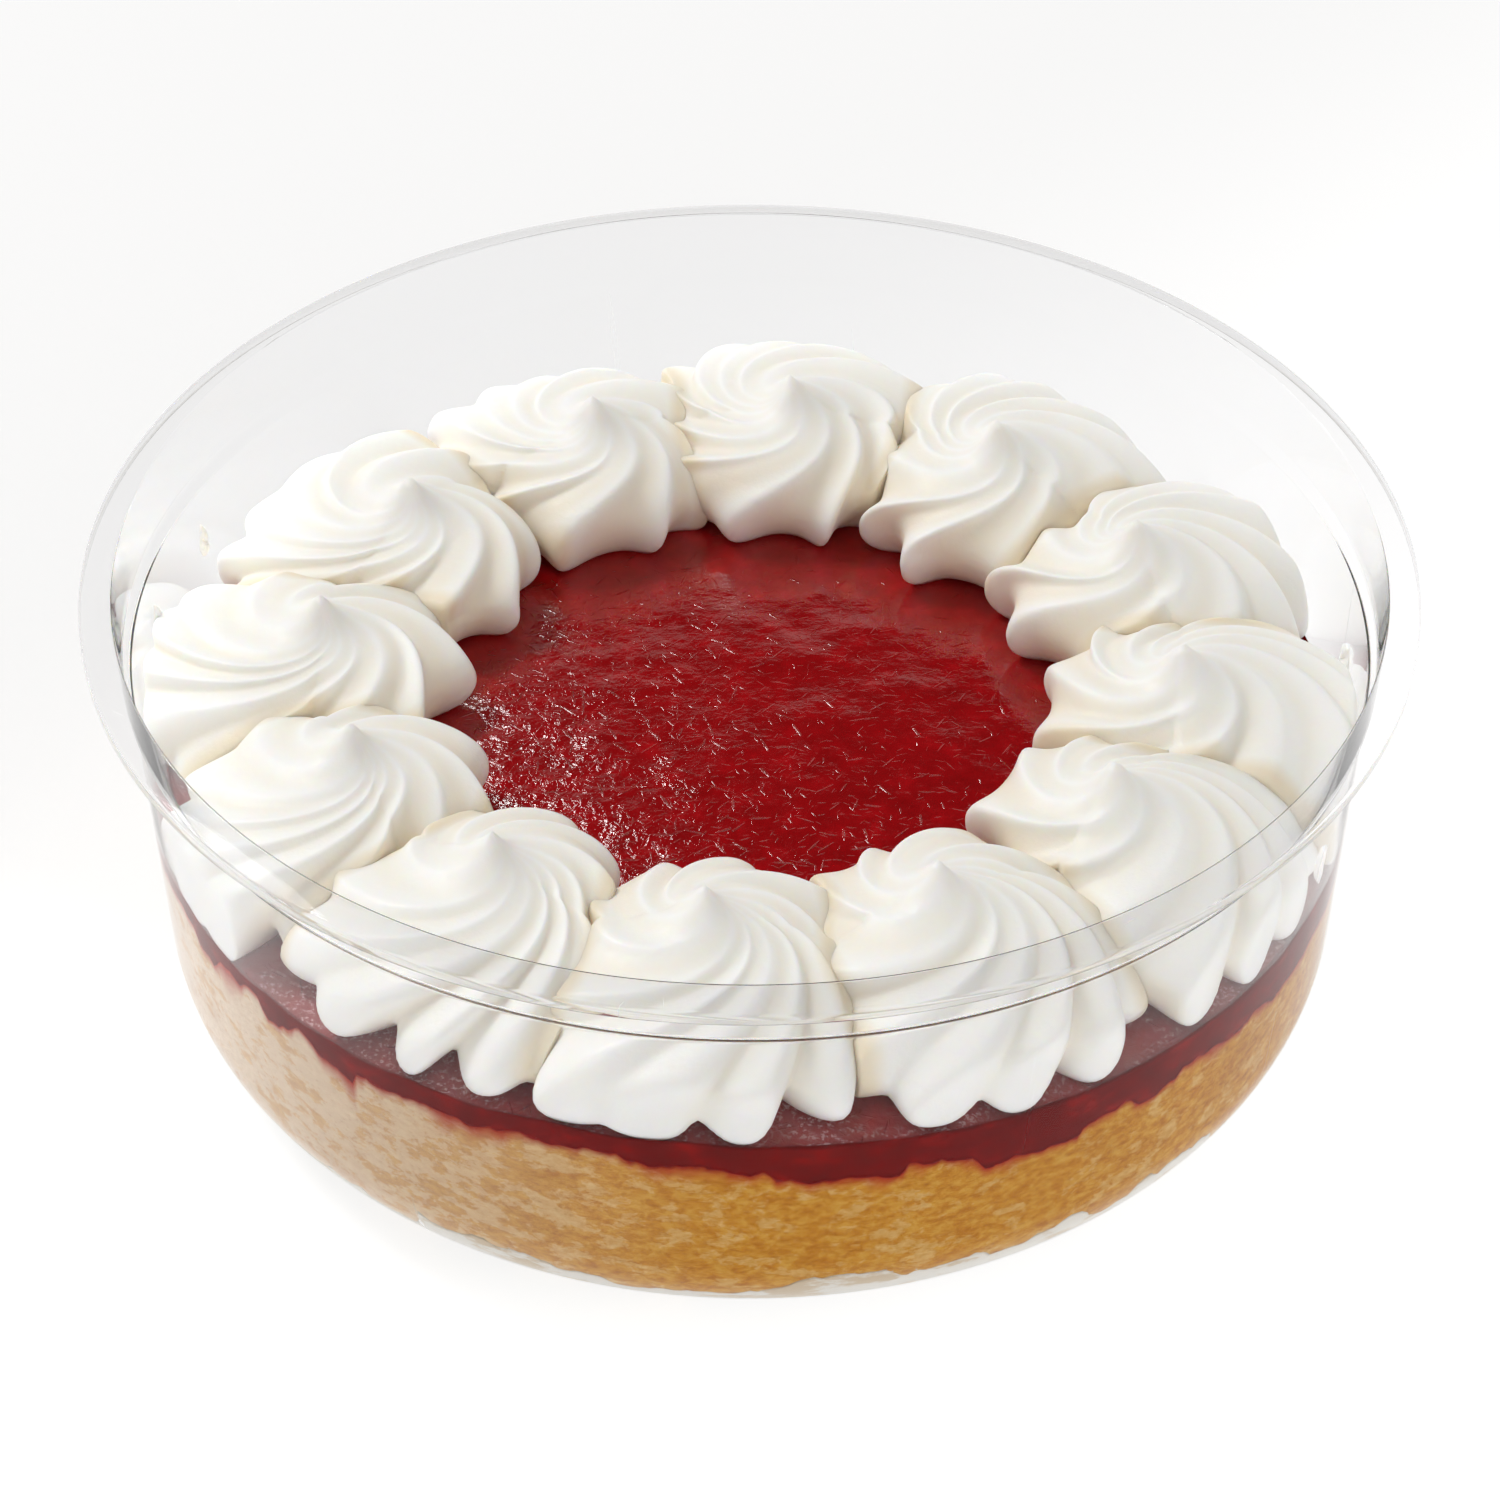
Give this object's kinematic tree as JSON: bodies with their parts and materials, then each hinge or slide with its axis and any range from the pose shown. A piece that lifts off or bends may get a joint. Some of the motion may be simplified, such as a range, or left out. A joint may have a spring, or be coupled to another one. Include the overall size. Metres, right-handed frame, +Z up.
{
  "type": "strawberry parfait",
  "caption": "Round clear tub of layered dessert: cream bed, sponge cake, domed red berry jelly, and a ring of swirled whipped-cream rosettes on top. No lid.",
  "frame": {"origin": "middle of the tub's flat base, on the surface it stands on", "axes": "+Z up through the open mouth; -Y towards the viewer; the tub is round about Z"},
  "size_m": [0.184, 0.184, 0.07],
  "materials": {
    "clear_tub": "clear, glossy, thin-walled",
    "cream": "soft white cream",
    "sponge": "open golden crumb, darker where wet",
    "jelly": "wet, glossy deep red with fine glints",
    "whipped_cream": "smooth ivory whipped cream"
  },
  "bodies": {
    "root": {"tub": "clear_tub", "cream_bed": "cream", "sponge": "sponge", "jelly": "jelly", "rosette_01": "whipped_cream", "rosette_02": "whipped_cream", "rosette_03": "whipped_cream", "rosette_04": "whipped_cream", "rosette_05": "whipped_cream", "rosette_06": "whipped_cream", "rosette_07": "whipped_cream", "rosette_08": "whipped_cream", "rosette_09": "whipped_cream", "rosette_10": "whipped_cream", "rosette_11": "whipped_cream", "rosette_12": "whipped_cream"}
  },
  "joints": []
}
